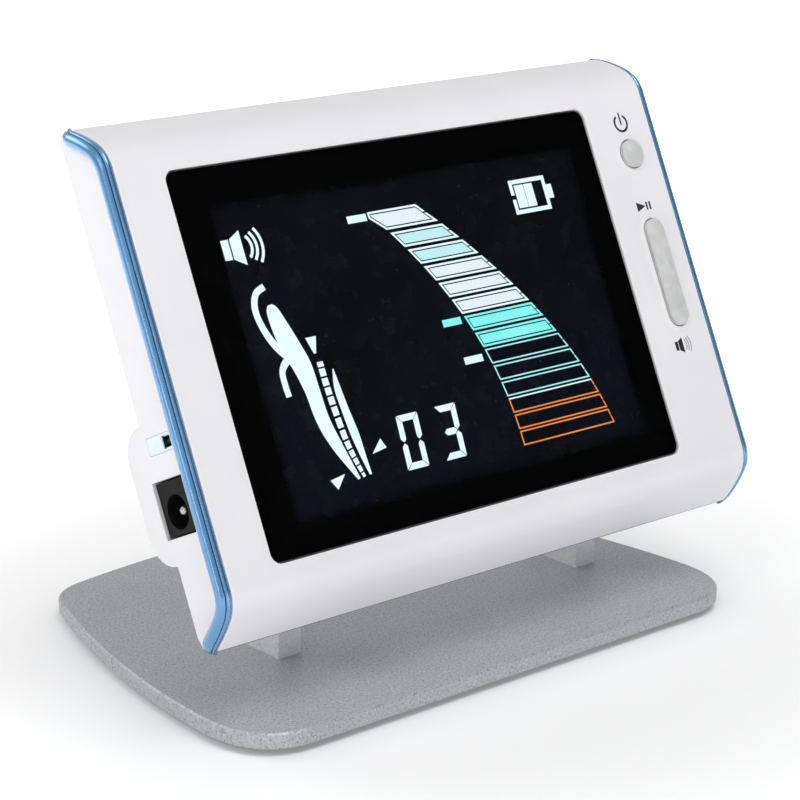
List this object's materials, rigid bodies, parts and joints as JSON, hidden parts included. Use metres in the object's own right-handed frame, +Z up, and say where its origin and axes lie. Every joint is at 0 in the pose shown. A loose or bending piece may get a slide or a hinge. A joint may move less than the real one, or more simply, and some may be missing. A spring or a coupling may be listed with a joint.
{
  "type": "apex locator",
  "caption": "Desk-top canal-length meter: a wide display head with a rounded back hump, side keys and blue side trim, tilting on two upright brackets over a flat metal base plate.",
  "frame": {"origin": "on the table, under the middle of the overall width and depth", "axes": "+X to the right as the user sees it, -Y towards the user, +Z up"},
  "size_m": [0.1396, 0.093, 0.1074],
  "materials": {
    "white_plastic": "satin gloss moulded shell",
    "blue_trim": "metallic light-blue paint on the moulded trim",
    "black_window": "mirror-smooth black face with a clear middle",
    "lcd": "dark navy display glass",
    "diffuser": "milky light guide",
    "black_plastic": "fine matt moulding",
    "key_plastic": "translucent grey-green keys",
    "stand_aluminium": "fine sand-blasted, clear anodised",
    "steel": "plain turned steel",
    "brass": "plain stamped brass",
    "circuit_board": "green solder mask",
    "black_rubber": "matt black rubber",
    "battery_wrap": "blue shrink wrap",
    "teal_plastic": "teal contact carrier",
    "tinned_steel": "bright tinned sheet"
  },
  "bodies": {
    "stand": {"base_plate": "stand_aluminium", "hinge_bracket_left": "stand_aluminium", "hinge_bracket_right": "stand_aluminium", "bracket_screw_1": "steel", "bracket_screw_2": "steel", "bracket_screw_3": "steel", "bracket_screw_4": "steel", "rubber_foot_1": "black_rubber", "rubber_foot_2": "black_rubber", "rubber_foot_3": "black_rubber", "rubber_foot_4": "black_rubber"},
    "head": {"front_cover": "white_plastic", "trim_band": "blue_trim", "rear_cover": "white_plastic", "cover_screw_1": "steel", "cover_screw_2": "steel", "cover_screw_3": "steel", "cover_screw_4": "steel", "display_window": "black_window", "lcd_glass": "lcd", "lcd_backlight": "diffuser", "lcd_zebra_strip": "black_rubber", "lcd_frame": "black_plastic", "main_board": "circuit_board", "board_screw_1": "steel", "board_screw_2": "steel", "board_screw_3": "steel", "controller_chip": "black_plastic", "measuring_circuit_shield": "tinned_steel", "buzzer": "black_plastic", "battery_pack": "battery_wrap", "key_board": "circuit_board", "power_switch": "black_plastic", "play_switch": "black_plastic", "volume_switch": "black_plastic", "dc_jack": "black_plastic", "dc_jack_pin": "steel", "dc_jack_spring": "steel", "probe_socket": "tinned_steel", "probe_socket_contact": "teal_plastic", "hinge_pin_left": "steel", "hinge_pin_right": "steel", "hinge_nut_left": "steel", "hinge_nut_right": "steel", "friction_washer_left_a": "brass", "friction_washer_left_b": "brass", "friction_washer_right_a": "brass", "friction_washer_right_b": "brass"},
    "battery_door": {"battery_door": "white_plastic", "battery_door_screw": "steel"},
    "power_button": {"power_button": "key_plastic"},
    "power_plunger": {"power_switch_plunger": "diffuser"},
    "rocker_key": {"rocker_key": "key_plastic"},
    "play_plunger": {"play_switch_plunger": "diffuser"},
    "volume_plunger": {"volume_switch_plunger": "diffuser"}
  },
  "joints": [
    {"name": "head_tilt", "type": "hinge", "parent": "stand", "child": "head", "pos_m": [0, -0.01671, 0.04314], "axis": [-1, 0, 0], "range_deg": [-25, 35]},
    {"name": "power_button_press", "type": "slide", "parent": "head", "child": "power_button", "axis": [0, 0.9033, -0.4289], "range_m": [0, 0.0003]},
    {"name": "power_plunger_press", "type": "slide", "parent": "head", "child": "power_plunger", "axis": [0, 0.9033, -0.4289], "range_m": [0, 0.0003]},
    {"name": "rocker_key_rock", "type": "hinge", "parent": "head", "child": "rocker_key", "pos_m": [0.061, -0.01958, 0.06576], "axis": [-1, 0, 0], "range_deg": [-2, 2]},
    {"name": "play_plunger_press", "type": "slide", "parent": "head", "child": "play_plunger", "axis": [0, 0.9033, -0.4289], "range_m": [-0.00027, 0.00027]},
    {"name": "volume_plunger_press", "type": "slide", "parent": "head", "child": "volume_plunger", "axis": [0, 0.9033, -0.4289], "range_m": [-0.00027, 0.00027]},
    {"name": "battery_door_lift", "type": "slide", "parent": "head", "child": "battery_door", "axis": [0, 0.9033, -0.4289], "range_m": [0, 0.015]}
  ],
  "couplings": [
    {"joint": "power_plunger_press", "follows": "power_button_press", "ratio": 1},
    {"joint": "play_plunger_press", "follows": "rocker_key_rock", "m_per_rad": 0.0075},
    {"joint": "volume_plunger_press", "follows": "rocker_key_rock", "m_per_rad": -0.0075}
  ]
}
